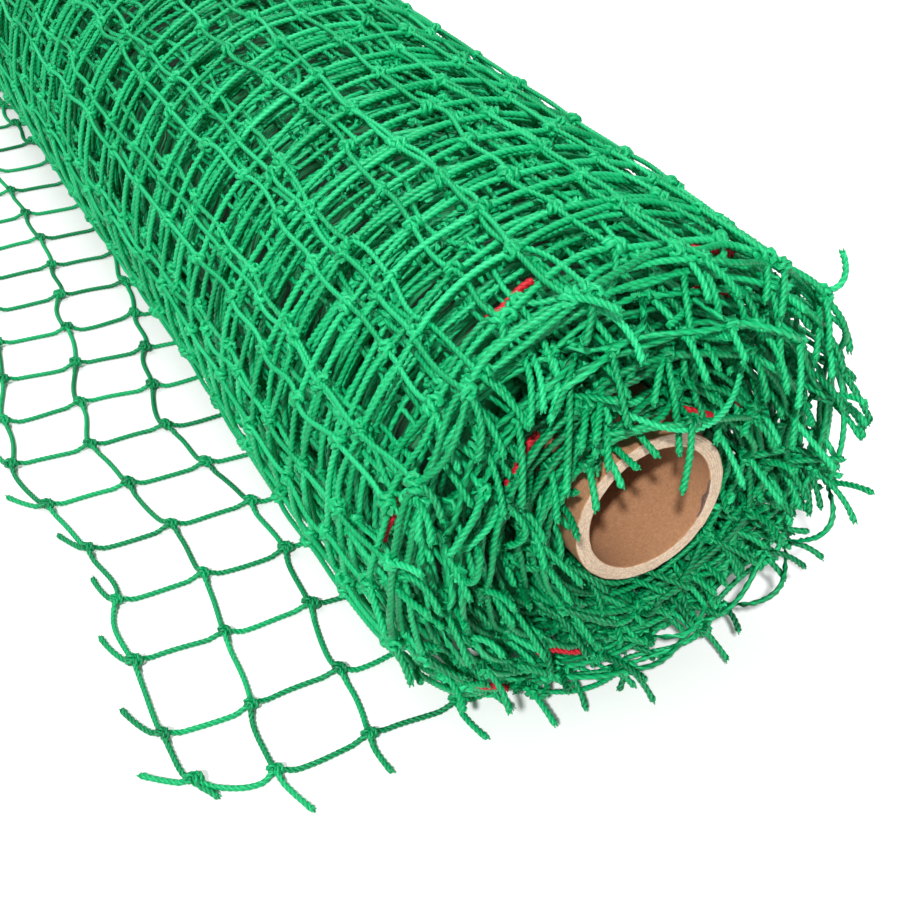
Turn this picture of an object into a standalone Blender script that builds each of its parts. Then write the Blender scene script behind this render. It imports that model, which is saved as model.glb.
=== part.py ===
"""A roll of knotted square-mesh net on a cardboard tube, its loose end lying flat beside the roll.

Metres, +Z up. The roll's axis runs along Y and the loose end lies towards -X. The origin is on the
floor, under the middle of the whole object. Every twine of the loose end is its own solid; the turns
still on the tube are one plain body, because each turn lies in the meshes of the one below it.
"""

import math

import bmesh
import bpy
from mathutils import Vector

# Driving dimensions.
MESH = 0.0375  # knot to knot, both ways
CELLS_ACROSS = 26
TWINE_RADIUS = 0.0011
ROLL_RADIUS = 0.100
AXIS_HEIGHT = 0.097  # less than the radius, because the roll's weight flattens its underside
CORE_BORE_RADIUS = 0.025
CORE_RADIUS = 0.0305
CORE_STANDS_OUT = 0.027  # past the outermost turn's first knots, at each end
CORE_OFF_AXIS = 0.005  # the turns are slacker on the loose end's side, so the tube sits off the roll's axis
CORE_EDGE = 0.0005  # the rim's small chamfer
INNER_TURNS_STAND_OUT = 0.014  # how far the turns next to the tube have slid past the outermost turn
CUT_END_LENGTH = 0.016  # how far the cut twine ends reach past their knots
GAP = 0.0003  # left between pieces that touch

# The loose end, in the roll's own terms: x from its axis, y from its first row of knots.
LOOSE_COLUMNS = 4
EDGE_X = -0.158  # the free edge
LAST_COLUMN_X = -0.051  # the column that lies just outside the roll's underside
LAST_COLUMN_SHARE = 0.3  # how much of the free edge's wander that column follows
UNDER_ROLL_X = -0.0322  # where the twines that run under the roll meet the turns above them
CROSSING_LIFT = 0.0045  # height of a crosswise twine's centre where it is knotted over another
KNOT_RADIUS = 0.0018
KNOT_REACH = 0.005  # half the length over which a crosswise twine swells into its knot
SIDE_TAIL = Vector((-0.014, 0.012, 0.0))
SIDE_TAIL_BEND = 0.4  # where the tail is sampled again, as a share of its length
END_TAIL_LENGTH = 0.020
END_TAIL_LEAN = 0.004
BOW = 0.0012  # how far a bar bows sideways between its knots
CORNER_PULL = Vector((0.010, 0.009, 0.0))  # how far the free corner's knot is drawn in
CORNER_REACH = 0.035  # how far along the edge that pull is felt

# Short red cords tied into the net's edge: angle about the axis, radius from it, and depth in front
# of the outermost turn's first knots.
MARK_LENGTH = 0.022
MARK_RADIUS = 0.0014
MARK_SLOT = 0.0020  # half the width of the space left for one among the cut ends
MARK_SLOT_DEPTH = 3 * CUT_END_LENGTH  # deep enough to leave the slot open to the front
MARKS = (
    (117.5, 0.1020, 0.001),
    (71.5, 0.1020, 0.010),
    (168.0, 0.0920, 0.010),
    (-127.0, 0.0850, 0.012),
    (71.0, 0.0800, 0.014),
    (-111.0, 0.0660, 0.018),
    (143.0, 0.0600, 0.020),
    (33.0, 0.0510, 0.022),
    (66.0, 0.0420, 0.024),
)

TURN_STEPS = 48
END_STEPS = 4  # straight runs that stand for an end's rounded profile
TUBE_SIDES_SETTING = 1  # a bevel resolution of 1 makes a six-sided tube
CUT_ENDS_INSET = 0.004  # how far the fringe's outer edge lies inside the roll's surface
BLANK_BORE_RADIUS = 0.015  # of a ring before it is bored out for the tube

NET_WIDTH = CELLS_ACROSS * MESH
FIRST_ROW_Y = -NET_WIDTH / 2
CORE_HALF = NET_WIDTH / 2 + CORE_STANDS_OUT
TURNS_INNER_RADIUS = CORE_RADIUS + GAP


def clear_scene():
    for obj in list(bpy.data.objects):
        bpy.data.objects.remove(obj, do_unlink=True)


def new_collection(name):
    collection = bpy.data.collections.new(name)
    bpy.context.scene.collection.children.link(collection)
    return collection


def plain_material(name, colour, roughness):
    material = bpy.data.materials.new(name)
    material.use_nodes = True
    shader = material.node_tree.nodes["Principled BSDF"]
    shader.inputs["Base Color"].default_value = (*colour, 1.0)
    shader.inputs["Roughness"].default_value = roughness
    shader.inputs["Metallic"].default_value = 0.0
    return material


def bump(y, centre, width, height):
    return height * math.exp(-(((y - centre) / width) ** 2))


def smooth_step(value):
    value = min(max(value, 0.0), 1.0)
    return value * value * (3 - 2 * value)


def wander(y):
    """How far the loose end has strayed at y: towards the roll if positive, away from it if negative."""
    waves = bump(y, 0.0, 0.045, -0.007) + bump(y, 0.125, 0.045, 0.006) + bump(y, 0.228, 0.045, -0.012)
    unseen_waves = bump(y, 0.66, 0.09, -0.010) + bump(y, 0.90, 0.07, -0.014)
    return waves + unseen_waves + 0.020 * smooth_step((y - 0.26) / 0.20)


def knot(row, column):
    """A knot's place on the floor, in the roll's own terms. The free corner is drawn in a little."""
    y = row * MESH
    corner = math.exp(-((y / CORNER_REACH) ** 2)) if column == 0 else 0.0
    if column == LOOSE_COLUMNS - 1:
        x = LAST_COLUMN_X + LAST_COLUMN_SHARE * wander(y)
    else:
        x = EDGE_X + column * MESH + wander(y)
    return Vector((x, y, 0.0)) + CORNER_PULL * corner


def free_edge_reach():
    """The lowest x of the loose end's twine ends, from the roll's axis."""
    return min(knot(row, 0).x for row in range(CELLS_ACROSS + 1)) + SIDE_TAIL.x - TWINE_RADIUS / 2


ROLL_X = -(free_edge_reach() + ROLL_RADIUS) / 2


def in_frame(point, height):
    return Vector((point.x + ROLL_X, point.y + FIRST_ROW_Y, height))


def tube(name, points, radius, material, collection, swells=None):
    """A round wire through the points. swells gives each point's radius as a share of radius."""
    curve = bpy.data.curves.new(name, "CURVE")
    curve.dimensions = "3D"
    curve.bevel_depth = radius
    curve.bevel_resolution = TUBE_SIDES_SETTING
    curve.use_fill_caps = True
    spline = curve.splines.new("POLY")
    spline.points.add(len(points) - 1)
    for index, point in enumerate(points):
        spline.points[index].co = (*point, 1.0)
        spline.points[index].radius = swells[index] if swells else 1.0
    obj = bpy.data.objects.new(name, curve)
    obj.data.materials.append(material)
    collection.objects.link(obj)
    return obj


def turned(name, profile, material, collection, axis_x):
    """A ring about an axis along Y. The profile's points are (radius, y) and run down its outer side."""
    mesh = bpy.data.meshes.new(name)
    built = bmesh.new()
    corners = [built.verts.new((radius, 0.0, y)) for radius, y in profile]
    for index, corner in enumerate(corners):
        built.edges.new((corner, corners[(index + 1) % len(corners)]))
    built.to_mesh(mesh)
    built.free()
    mesh.materials.append(material)
    obj = bpy.data.objects.new(name, mesh)
    obj.location = (axis_x, 0.0, AXIS_HEIGHT)
    obj.rotation_euler = (-math.pi / 2, 0.0, 0.0)
    collection.objects.link(obj)
    screw = obj.modifiers.new("turn", "SCREW")
    screw.axis = "Z"
    screw.steps = TURN_STEPS
    screw.render_steps = TURN_STEPS
    screw.use_merge_vertices = True
    screw.merge_threshold = 0.0001
    return obj


def stand_out(radius):
    """How far the turns at this radius stand out past the outermost one."""
    share = max(radius - TURNS_INNER_RADIUS, 0.0) / (ROLL_RADIUS - TURNS_INNER_RADIUS)
    return INNER_TURNS_STAND_OUT * (1 - share * share)


def end_profile(outer, inner, beyond):
    """Points from the outer radius to the inner one, beyond metres in front of the turns' ends."""
    radii = [outer + (inner - outer) * step / END_STEPS for step in range(END_STEPS + 1)]
    return [(radius, NET_WIDTH / 2 + stand_out(radius) + beyond) for radius in radii]


def make_core(material, collection):
    shoulder = CORE_HALF - CORE_EDGE
    outer = [(CORE_RADIUS - CORE_EDGE, CORE_HALF), (CORE_RADIUS, shoulder)]
    inner = [(CORE_BORE_RADIUS, shoulder), (CORE_BORE_RADIUS + CORE_EDGE, CORE_HALF)]
    near_outer = [(radius, -y) for radius, y in reversed(outer)]
    near_inner = [(radius, -y) for radius, y in reversed(inner)]
    profile = outer + near_outer + near_inner + inner
    turned("core_tube", profile, material, collection, ROLL_X + CORE_OFF_AXIS)


def make_bore_cutter(material, cutters):
    """The space that the tube takes, as a cutter for the rings round it."""
    length = NET_WIDTH
    profile = [(TURNS_INNER_RADIUS, -length), (0.0, -length), (0.0, length), (TURNS_INNER_RADIUS, length)]
    cutter = turned("bore_cutter", profile, material, cutters, ROLL_X + CORE_OFF_AXIS)
    cutter.hide_render = True
    return cutter


def bore_out(ring, bore_cutter):
    bore = ring.modifiers.new("bore", "BOOLEAN")
    bore.operation = "DIFFERENCE"
    bore.object = bore_cutter


def make_wound_net(material, collection, cutters, bore_cutter):
    far_end = end_profile(ROLL_RADIUS, BLANK_BORE_RADIUS, 0.0)
    near_end = [(radius, -y) for radius, y in far_end]
    profile = near_end + list(reversed(far_end))
    turns = turned("wound_net", profile, material, collection, ROLL_X)
    bore_out(turns, bore_cutter)
    cutter = box_cutter("floor_cutter", (2 * ROLL_RADIUS, 2 * CORE_HALF, ROLL_RADIUS), cutters)
    cutter.location = (ROLL_X, 0.0, -ROLL_RADIUS / 2)
    flatten = turns.modifiers.new("flatten", "BOOLEAN")
    flatten.operation = "DIFFERENCE"
    flatten.object = cutter


def box_cutter(name, size, collection):
    """A hidden box that a Boolean cuts with."""
    mesh = bpy.data.meshes.new(name)
    built = bmesh.new()
    bmesh.ops.create_cube(built, size=1.0)
    bmesh.ops.scale(built, vec=size, verts=built.verts)
    built.to_mesh(mesh)
    built.free()
    cutter = bpy.data.objects.new(name, mesh)
    cutter.hide_render = True
    cutter.display_type = "WIRE"
    collection.objects.link(cutter)
    return cutter


def mark_frame(angle, radius, depth):
    """A mark's centre, the direction it runs in round the roll, and the direction away from the axis."""
    turn = math.radians(angle)
    outward = Vector((math.cos(turn), 0.0, math.sin(turn)))
    along = Vector((-math.sin(turn), 0.0, math.cos(turn)))
    return Vector((ROLL_X, FIRST_ROW_Y - depth, AXIS_HEIGHT)) + outward * radius, along, outward


def make_cut_ends(material, collection, slots, bore_cutter):
    """The fringe of cut twine ends at each end of the roll, as a plain ring in front of the turns."""
    outer = ROLL_RADIUS - CUT_ENDS_INSET
    back = end_profile(outer, BLANK_BORE_RADIUS, GAP)
    front = end_profile(outer, BLANK_BORE_RADIUS, CUT_END_LENGTH)
    far = front[:1] + back + list(reversed(front))[:-1]
    bore_out(turned("far_cut_ends", far, material, collection, ROLL_X), bore_cutter)
    near = [(radius, -y) for radius, y in back[:1] + front + list(reversed(back))[:-1]]
    near_ring = turned("near_cut_ends", near, material, collection, ROLL_X)
    bore_out(near_ring, bore_cutter)
    spaces = near_ring.modifiers.new("spaces for the marks", "BOOLEAN")
    spaces.operation = "DIFFERENCE"
    spaces.operand_type = "COLLECTION"
    spaces.collection = slots


def make_metre_marks(material, collection, slots):
    """The red marks, and a slot for each one that lies among the cut ends, open to the front."""
    half = MARK_LENGTH / 2
    slot_length = 2 * (half + MARK_RADIUS + 2 * GAP)
    for number, (angle, radius, depth) in enumerate(MARKS, start=1):
        centre, along, outward = mark_frame(angle, radius, depth)
        sag = radius - math.sqrt(radius * radius - half * half)
        ends = [centre - along * half - outward * sag, centre, centre + along * half - outward * sag]
        tube(f"metre_mark_{number}", ends, MARK_RADIUS, material, collection)
        if radius > ROLL_RADIUS:
            continue
        size = (2 * MARK_SLOT + sag, MARK_SLOT_DEPTH, slot_length)
        slot = box_cutter(f"mark_slot_{number}", size, slots)
        slot.location = centre - outward * sag / 2 + Vector((0.0, MARK_SLOT - MARK_SLOT_DEPTH / 2, 0.0))
        slot.rotation_euler = (0.0, -math.radians(angle), 0.0)


def uneven_bow(row, column):
    """A sideways bow that looks random from one bar to the next, but is the same on every run."""
    return BOW * math.sin(2.1 * row + 1.3 * column)


def make_length_twines(material, collection):
    """The loose end's twines that run the net's length: from the free edge to the roll's underside."""
    for row in range(CELLS_ACROSS + 1):
        knots = [knot(row, column) for column in range(LOOSE_COLUMNS)]
        points = [knots[0] + SIDE_TAIL, knots[0] + SIDE_TAIL * SIDE_TAIL_BEND, knots[0]]
        for column in range(1, LOOSE_COLUMNS):
            bow = uneven_bow(row, column)
            points.append((knots[column - 1] + knots[column]) / 2 + Vector((0.0, bow, 0.0)))
            points.append(knots[column])
        points.append(Vector((UNDER_ROLL_X, points[-1].y, 0.0)))
        route = [in_frame(point, TWINE_RADIUS) for point in points]
        tube(f"loose_length_twine_{row + 1:02d}", route, TWINE_RADIUS, material, collection)


def make_cross_twines(material, collection):
    """The loose end's twines that run across the net, over the others and swelling into each knot."""
    swell = KNOT_RADIUS / TWINE_RADIUS
    shoulder = (CROSSING_LIFT + TWINE_RADIUS) / 2
    reach = Vector((0.0, KNOT_REACH, 0.0))
    for column in range(LOOSE_COLUMNS):
        tail = Vector((END_TAIL_LEAN * math.cos(2.0 * column), -END_TAIL_LENGTH, 0.0))
        points = [in_frame(knot(0, column) + tail, TWINE_RADIUS)]
        swells = [1.0]
        for row in range(CELLS_ACROSS + 1):
            here = knot(row, column)
            points.append(in_frame(here - reach, shoulder))
            points.append(in_frame(here, CROSSING_LIFT))
            points.append(in_frame(here + reach, shoulder))
            swells += [1.0, swell, 1.0]
            if row < CELLS_ACROSS:
                bow = Vector((uneven_bow(column, row), 0.0, 0.0))
                points.append(in_frame((here + knot(row + 1, column)) / 2 + bow, TWINE_RADIUS))
                swells.append(1.0)
        points.append(in_frame(knot(CELLS_ACROSS, column) - tail, TWINE_RADIUS))
        swells.append(1.0)
        tube(f"loose_cross_twine_{column + 1}", points, TWINE_RADIUS, material, collection, swells)


def main():
    clear_scene()
    net_roll = new_collection("net_roll")
    cutters = new_collection("cutters")
    slots = new_collection("mark_slots")
    green = plain_material("green_twine", (0.02, 0.42, 0.13), 0.55)
    board = plain_material("cardboard", (0.52, 0.34, 0.20), 0.9)
    red = plain_material("red_cord", (0.45, 0.02, 0.02), 0.45)
    make_core(board, net_roll)
    bore_cutter = make_bore_cutter(board, cutters)
    make_wound_net(green, net_roll, cutters, bore_cutter)
    make_metre_marks(red, net_roll, slots)
    make_cut_ends(green, net_roll, slots, bore_cutter)
    make_cross_twines(green, net_roll)
    make_length_twines(green, net_roll)


main()
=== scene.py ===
import math

import bpy
import numpy as np
from mathutils import Matrix, Vector


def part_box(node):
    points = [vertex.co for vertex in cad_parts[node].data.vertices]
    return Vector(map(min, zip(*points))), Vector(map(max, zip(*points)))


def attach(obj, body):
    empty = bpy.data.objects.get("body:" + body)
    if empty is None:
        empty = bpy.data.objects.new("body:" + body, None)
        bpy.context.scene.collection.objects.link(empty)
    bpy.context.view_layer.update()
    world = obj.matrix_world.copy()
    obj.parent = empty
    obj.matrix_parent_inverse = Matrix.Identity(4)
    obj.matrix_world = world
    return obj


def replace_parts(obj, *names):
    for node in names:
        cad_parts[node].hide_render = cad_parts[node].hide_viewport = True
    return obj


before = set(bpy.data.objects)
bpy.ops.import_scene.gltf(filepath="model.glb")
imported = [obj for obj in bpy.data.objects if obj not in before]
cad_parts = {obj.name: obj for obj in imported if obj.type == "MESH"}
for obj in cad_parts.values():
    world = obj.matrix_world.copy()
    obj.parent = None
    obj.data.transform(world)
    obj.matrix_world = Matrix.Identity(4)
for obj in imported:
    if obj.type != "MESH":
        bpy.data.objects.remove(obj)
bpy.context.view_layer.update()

# ---------------------------------------------------------------- the net and its twine, in metres
MESH = 0.0375  # knot to knot
CELLS_ACROSS = 26
ROWS = CELLS_ACROSS + 1  # lengthwise twines
NET_WIDTH = CELLS_ACROSS * MESH
FIRST_ROW_Y = -NET_WIDTH / 2
TWINE = 0.00114  # radius of the three-strand twine
LENGTHWISE_TWINE = TWINE * 1.07
CROSSWISE_TWINE = TWINE * 0.93
KNOT_TWINE = TWINE * 0.98
LAY = 0.0069  # length of one full twist of its strands
FRAYED_STRAND = 0.00052  # radius of one strand that has come undone
KNOT_HALF_HEIGHT = 0.0036
PLAIN = 6  # sides of a twine on the roll
FINE = 12  # and of one that is seen closely
STRAND_SHAPES = {  # the outline of three strands
    PLAIN: np.array([1.10, 0.82] * 3),
    FINE: np.array([1.12, 1.02, 0.74, 1.02] * 3),
}

# ---------------------------------------------------------------- the roll, in metres
TURN_STEP = 0.0022  # what each turn on the tube adds to the radius
SPIRAL = TURN_STEP / (2 * np.pi)
INNERMOST_TURN = 0.0335  # radius of the turn next to the tube
COLUMN_PITCH = MESH * 0.985  # knot to knot along the wound net
SQUASH_BELOW = 0.020  # the roll's weight flattens it below this height
LOWEST = 0.0016  # height of the lowest twine's middle
FILLING_RADIUS = 0.0705  # the turns that are seen only through others are one body up to here
FILLING_SHORT = 0.020  # how far that body stays inside the net's edges
TUBE_WALL = 0.0055
BOARD_PLIES = 6
DARK_PATCH_ANGLES = (-28.0, 9.0)  # a dark patch is painted between these, just inside the tube's near mouth

# Each turn's (rings in a bar, rings in a knot, length of a twist). What lies deeper is seen less, so it has
# fewer rings, and a longer twist that those rings can carry.
TURNS = (
    (38, 30, LAY),
    (38, 20, LAY),
    (22, 14, LAY),
    (22, 12, LAY),
    (19, 9, LAY),
    (12, 9, 0.010),
    (12, 9, 0.010),
    (10, 8, 0.012),
    (10, 8, 0.012),
    (9, 8, 0.014),
    (9, 8, 0.014),
    (9, 8, 0.014),
)
MANY_RINGS = 30  # turns whose bars have this many are split into an object for each kind of twine

# How the turns deeper than those are shaded at the roll's ends: less light gets to them.
DEEP_LENGTHWISE_SHADE = -0.42
DEEP_CROSSWISE_SHADE = -0.7
DEEP_KNOT_SHADE = -0.6

# ---------------------------------------------------------------- how the wound net strays, in metres
# Waves over its knots: (how many rows and columns they reach, standard deviation).
WAVES_Y = ((1.2, 1.0), 0.0024)
WAVES_S = ((1.6, 0.8), 0.0034)
WAVES_LIFT = ((1.5, 1.5), 0.0009)
LEAN_Y = ((0.5, 0.5), 0.0050)  # how far a lengthwise twine slants through its knot
LEAN_S = ((0.5, 0.5), 0.0085)  # and a crosswise one
# Standard deviations of what each knot strays by itself.
JITTER_Y = 0.0010
JITTER_Y_AT_EDGE = 0.0022
JITTER_S = 0.0012
JITTER_LIFT = 0.0003
HIGHEST_LIFT = 0.0016
END_DROOP = 0.0040
# Whole crosswise twines slide along the roll: (standard deviation, what it grows by over the first turns).
DRIFT = (0.009, 0.009)
DRIFT_REACH = 4.0  # columns
DRIFT_AT_TOP = -0.011  # the top of the roll leans towards the near end by up to twice this
# How a twine bends between its knots, as standard deviations of its slopes there or (middle, deviation).
LENGTHWISE_KINK = 0.0022
EDGE_KINK = 0.017
CROSSWISE_KINK = 0.0035
LENGTHWISE_SAG = (-0.0006, 0.0016)
CROSSWISE_RISE = (0.0012, 0.0020)
# Painted shade on the net's edge bars that lie under the outer turn, at the roll's ends.
COVERED_EDGE_SHADE = -0.25

# ---------------------------------------------------------------- what the net's edges do, in metres
HANGING_SHARE = 0.11  # of the twines along the net's edges hang out in loops
HANGS_OUT = 0.055  # how steeply such a loop leaves the edge
HANGS_DOWN = 0.014
EDGE_STANDS_OFF = 0.0125  # the first turn's edge, on the side away from the loose end
STANDS_OFF_AT = -20.0  # degrees
EDGE_DRAWN_IN = 0.0105  # the edge above the loose end
DRAWN_IN_AT = 238.0  # degrees
CLEAR_OF_MARKS = 0.03  # no loop hangs, seen along the roll, nearer than this to a red cord

TAIL_LENGTHS = (0.014, 0.026)  # the cut ends
TAIL_BY_MARK = 0.013  # the longest one that starts within NEAR_MARK of a red cord
NEAR_MARK = 0.011
CURLED_SHARE = 0.07
# The share of cut ends that are spared most of the painted shade at the roll's ends.
PALE_SHARE = 0.3

# Two twines at the near end have a bent shape of their own, a bow above the tube and a curl at the upper
# right. Each is four points, (degrees round the roll, radius, y).
STRAY_TWINES = (
    ((115.0, 0.060, -0.507), (104.0, 0.037, -0.533), (64.0, 0.038, -0.538), (60.0, 0.064, -0.516)),
    ((53.0, 0.094, -0.489), (40.0, 0.090, -0.506), (33.0, 0.106, -0.506), (43.5, 0.111, -0.503)),
)

# ---------------------------------------------------------------- the loose end, in metres
# x is taken from the roll's axis and y from the net's first knots, as in the CAD model.
LOOSE_COLUMNS = 4
EDGE_X = -0.158
LAST_COLUMN_X = -0.051
LAST_COLUMN_SHARE = 0.3  # how much of the loose end's waves the column next to the roll follows
FIRST_WOUND_S = LAST_COLUMN_X + MESH  # the first knots under the roll, along the net from under its axis
LOOSE_BOW = 0.0085
# Painted shade: the loose end's twines are painted darker than those on the roll, and its knots darker still.
LOOSE_SHADE = -0.6  # it lies over the bright floor and looks darker
LOOSE_KNOT_SHADE = -0.8
LOOSE_KNOT_SIZE = 0.88
RESTING = TWINE * 1.1  # height of a resting twine's middle
FREE_EDGE_TAILS = (0.017, 0.023)  # lengths of the cut ends along the free edge
NET_SIDE_TAILS = (0.014, 0.023)  # and of those at the net's two sides
CORNER_TAIL = 0.011
LOOSE_TAIL_RINGS = 26
# The directions of the near side's cut ends, from the free edge on.
NEAR_TAIL_DIRECTIONS = ((0.75, -1.0, 0.0), (0.20, -1.0, 0.0), (-0.10, -1.0, 0.0), (-0.05, -1.0, 0.0))

# ---------------------------------------------------------------- the red cords, in metres
MARK_HALF_LENGTH = 0.0095
MARK_RADIUS = 0.00125
MARK_COVER = 0.0085  # how deep under the outermost turn they lie, at the least
MARKS_FORWARDS = (0.0, 0.0, 0.003, 0.008, 0.003, 0.003, 0.003, 0.003, 0.003)  # nearer the cut ends' tips
MARK_RINGS = 24

# ---------------------------------------------------------------- colours, from dark to light
GREENS = ((0.000, 0.085, 0.024), (0.001, 0.345, 0.110), (0.032, 0.56, 0.235))
GREEN_SHEEN = (0.50, 1.0, 0.78)
REDS = ((0.12, 0.0, 0.002), (0.37, 0.004, 0.012), (0.60, 0.025, 0.04))
RED_SHEEN = (1.0, 0.5, 0.5)
# Painted shade: the inside of the roll, darker than the twine's own green.
DEEP_SHADE_GREENS = ((0.0, 0.020, 0.005), (0.0, 0.30, 0.090))
KRAFTS = ((0.265, 0.121, 0.055), (0.405, 0.208, 0.102))
DARK_PATCH_COLOURS = ((0.05, 0.03, 0.035), (0.20, 0.11, 0.08))
CUT_BOARDS = ((0.31, 0.22, 0.150), (0.58, 0.455, 0.335))
FLOOR_GREY = 0.86

# ---------------------------------------------------------------- light and camera
KEY_DIRECTION = Vector((-0.480, -0.542, 0.690))  # from the tube's mouth
KEY_DISTANCE = 2.6
KEY_SIZE = 0.12
KEY_POWER = 90.0
OVERHEAD_PLACE = (-0.4, 0.7, 2.6)
OVERHEAD_AIM = (-0.1, 0.2, 0.0)
OVERHEAD_SIZE = 2.2
OVERHEAD_POWER = 61.0
WORLD_STRENGTH = 0.44
CAMERA_FROM_ROLL = (-0.2270, -0.2956, 0.3724)  # from the floor under the roll's axis at the net's first row
CAMERA_FORWARD = (0.39722, 0.70374, -0.58904)
CAMERA_RIGHT = (0.88129, -0.47157, 0.03091)
CAMERA_LENS = 51.6
CAMERA_SENSOR = 36.0

# ---------------------------------------------------------------- the directions used below
ALONG_X = np.array((1.0, 0.0, 0.0))
ALONG_Y = np.array((0.0, 1.0, 0.0))
ALONG_Z = np.array((0.0, 0.0, 1.0))

# ---------------------------------------------------------------- what the frame says
core_low, core_high = (np.array(corner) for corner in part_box("core_tube"))
net_low, net_high = (np.array(corner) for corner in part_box("wound_net"))
ROLL_X = (net_low[0] + net_high[0]) / 2
CORE_X = (core_low[0] + core_high[0]) / 2
AXIS_Z = (core_low[2] + core_high[2]) / 2
CORE_RADIUS = (core_high[0] - core_low[0]) / 2
CORE_BORE_RADIUS = CORE_RADIUS - TUBE_WALL
CORE_END_Y = core_low[1]
OUTER_RADIUS = (net_high[0] - net_low[0]) / 2 - TWINE
INNER_STAND_OUT = FIRST_ROW_Y - net_low[1]
mark_boxes = [np.array(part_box(f"metre_mark_{number}")) for number in range(1, len(MARKS_FORWARDS) + 1)]
mark_centres = np.array([corners.mean(axis=0) for corners in mark_boxes])

random = np.random.default_rng(20)


# ---------------------------------------------------------------- small helpers
def unit(vectors):
    return vectors / np.maximum(np.linalg.norm(vectors, axis=-1, keepdims=True), 1e-12)


def smooth_step(value):
    value = np.clip(value, 0.0, 1.0)
    return value * value * (3 - 2 * value)


def bump(value, centre, width, height=1.0):
    return height * np.exp(-(((value - centre) / width) ** 2))


def fading(value, reach):
    return np.exp(-value / reach)


def soft_noise(shape, reaches, amount):
    """Smooth noise over a grid: how many cells it reaches along each axis, and its standard deviation."""
    field = random.standard_normal(shape)
    for axis, reach in enumerate(reaches):
        half = max(int(3 * reach), 1)
        kernel = np.exp(-0.5 * (np.arange(-half, half + 1) / max(reach, 0.3)) ** 2)
        kernel /= kernel.sum()
        edges = [(half, half) if other == axis else (0, 0) for other in range(len(shape))]
        padded = np.pad(field, edges, mode="symmetric")
        field = np.apply_along_axis(np.convolve, axis, padded, kernel, "valid")
    return field * amount / max(field.std(), 1e-9)


def net_noise(reaches, amount):
    return soft_noise((ROWS, COLUMNS), reaches, amount)


def between(start, end, leave, arrive, share):
    """Curves from start to end. leave and arrive are their slopes off the straight line at the two ends."""
    start, end, leave, arrive = (np.asarray(value)[..., None] for value in (start, end, leave, arrive))
    straight = start + (end - start) * share
    return straight + leave * share * (1 - share) ** 2 - arrive * share**2 * (1 - share)


def distance_to_marks(places):
    """How far each place is from the nearest red cord, seen along the roll."""
    across = places[:, None, [0, 2]] - mark_centres[None][:, :, [0, 2]]
    return np.linalg.norm(across, axis=-1).min(axis=1)


# ---------------------------------------------------------------- twine meshes
# A part is (points, fibre coordinates, how deep in the groove between two strands, shade, lists of faces).
def swept(path, side, radius=TWINE, sides=PLAIN, shade=0.5, lay=LAY):
    """One part of lobed, twisted tubes along each of path's rows."""
    path = np.asarray(path, float)
    rows, rings = path.shape[:2]
    ahead = unit(np.gradient(path, axis=1))
    side = np.broadcast_to(side, path.shape)
    across = unit(side - (side * ahead).sum(-1, keepdims=True) * ahead)
    over = np.cross(ahead, across)
    steps = np.linalg.norm(np.diff(path, axis=1), axis=-1)
    along = np.concatenate([np.zeros((rows, 1)), np.cumsum(steps, axis=1)], axis=1)
    along = along + random.uniform(0.0, LAY, (rows, 1))
    shape = STRAND_SHAPES[sides]
    strand = np.arange(sides) * 2 * np.pi / sides
    angle = strand + 2 * np.pi * along[..., None] / lay
    reach = np.broadcast_to(radius, (rows, rings))[..., None] * shape
    ring = across[:, :, None] * (reach * np.cos(angle))[..., None]
    ring = ring + over[:, :, None] * (reach * np.sin(angle))[..., None]
    fibre = np.empty((rows, rings, sides, 3))
    fibre[..., 0] = np.cos(strand)
    fibre[..., 1] = np.sin(strand)
    fibre[..., 2] = along[..., None]
    groove = np.broadcast_to((shape.max() - shape) / np.ptp(shape), (rows, rings, sides))
    corner = np.arange(sides)
    after = (corner + 1) % sides
    first = (np.arange(rows)[:, None, None] * rings + np.arange(rings - 1)[:, None]) * sides
    quads = np.stack([first + corner, first + after, first + sides + after, first + sides + corner], -1)
    ends = np.arange(rows)[:, None] * rings * sides
    caps = np.concatenate([ends + corner[::-1], ends + (rings - 1) * sides + corner])
    shade_of_points = np.repeat(np.broadcast_to(shade, (rows,)), rings * sides)
    points = (path[:, :, None] + ring).reshape(-1, 3)
    return points, fibre.reshape(-1, 3), groove.reshape(-1), shade_of_points, [quads.reshape(-1, 4), caps]


def gathered(parts):
    """One part made of several."""
    columns = [[], [], [], []]
    faces = {}
    count = 0
    for part in parts:
        for column, values in zip(columns, part[:4]):
            column.append(values)
        for rows in part[4]:
            faces.setdefault(rows.shape[1], []).append(rows + count)
        count += len(part[0])
    values = [np.concatenate(column) for column in columns]
    return (*values, [np.concatenate(rows) for rows in faces.values()])


def stamped(template, turns, places, shade):
    """Copies of a part, each turned by its matrix and put in its place."""
    points, fibre, groove, _, faces = template
    copies = len(places)
    moved = np.einsum("nij,vj->nvi", turns, points) + places[:, None]
    starts = np.arange(copies)[:, None, None] * len(points)
    rows = [(face[None] + starts).reshape(-1, face.shape[1]) for face in faces]
    shade_of_points = np.repeat(np.broadcast_to(shade, (copies,)), len(points))
    return moved.reshape(-1, 3), np.tile(fibre, (copies, 1)), np.tile(groove, copies), shade_of_points, rows


def linked(name, mesh):
    """An object of the one body."""
    obj = bpy.data.objects.new(name, mesh)
    bpy.context.scene.collection.objects.link(obj)
    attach(obj, "root")
    return obj


def point_values(mesh, name, kind, field, values):
    attribute = mesh.attributes.new(name, kind, "POINT")
    attribute.data.foreach_set(field, values.astype(np.float32).ravel())


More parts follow.
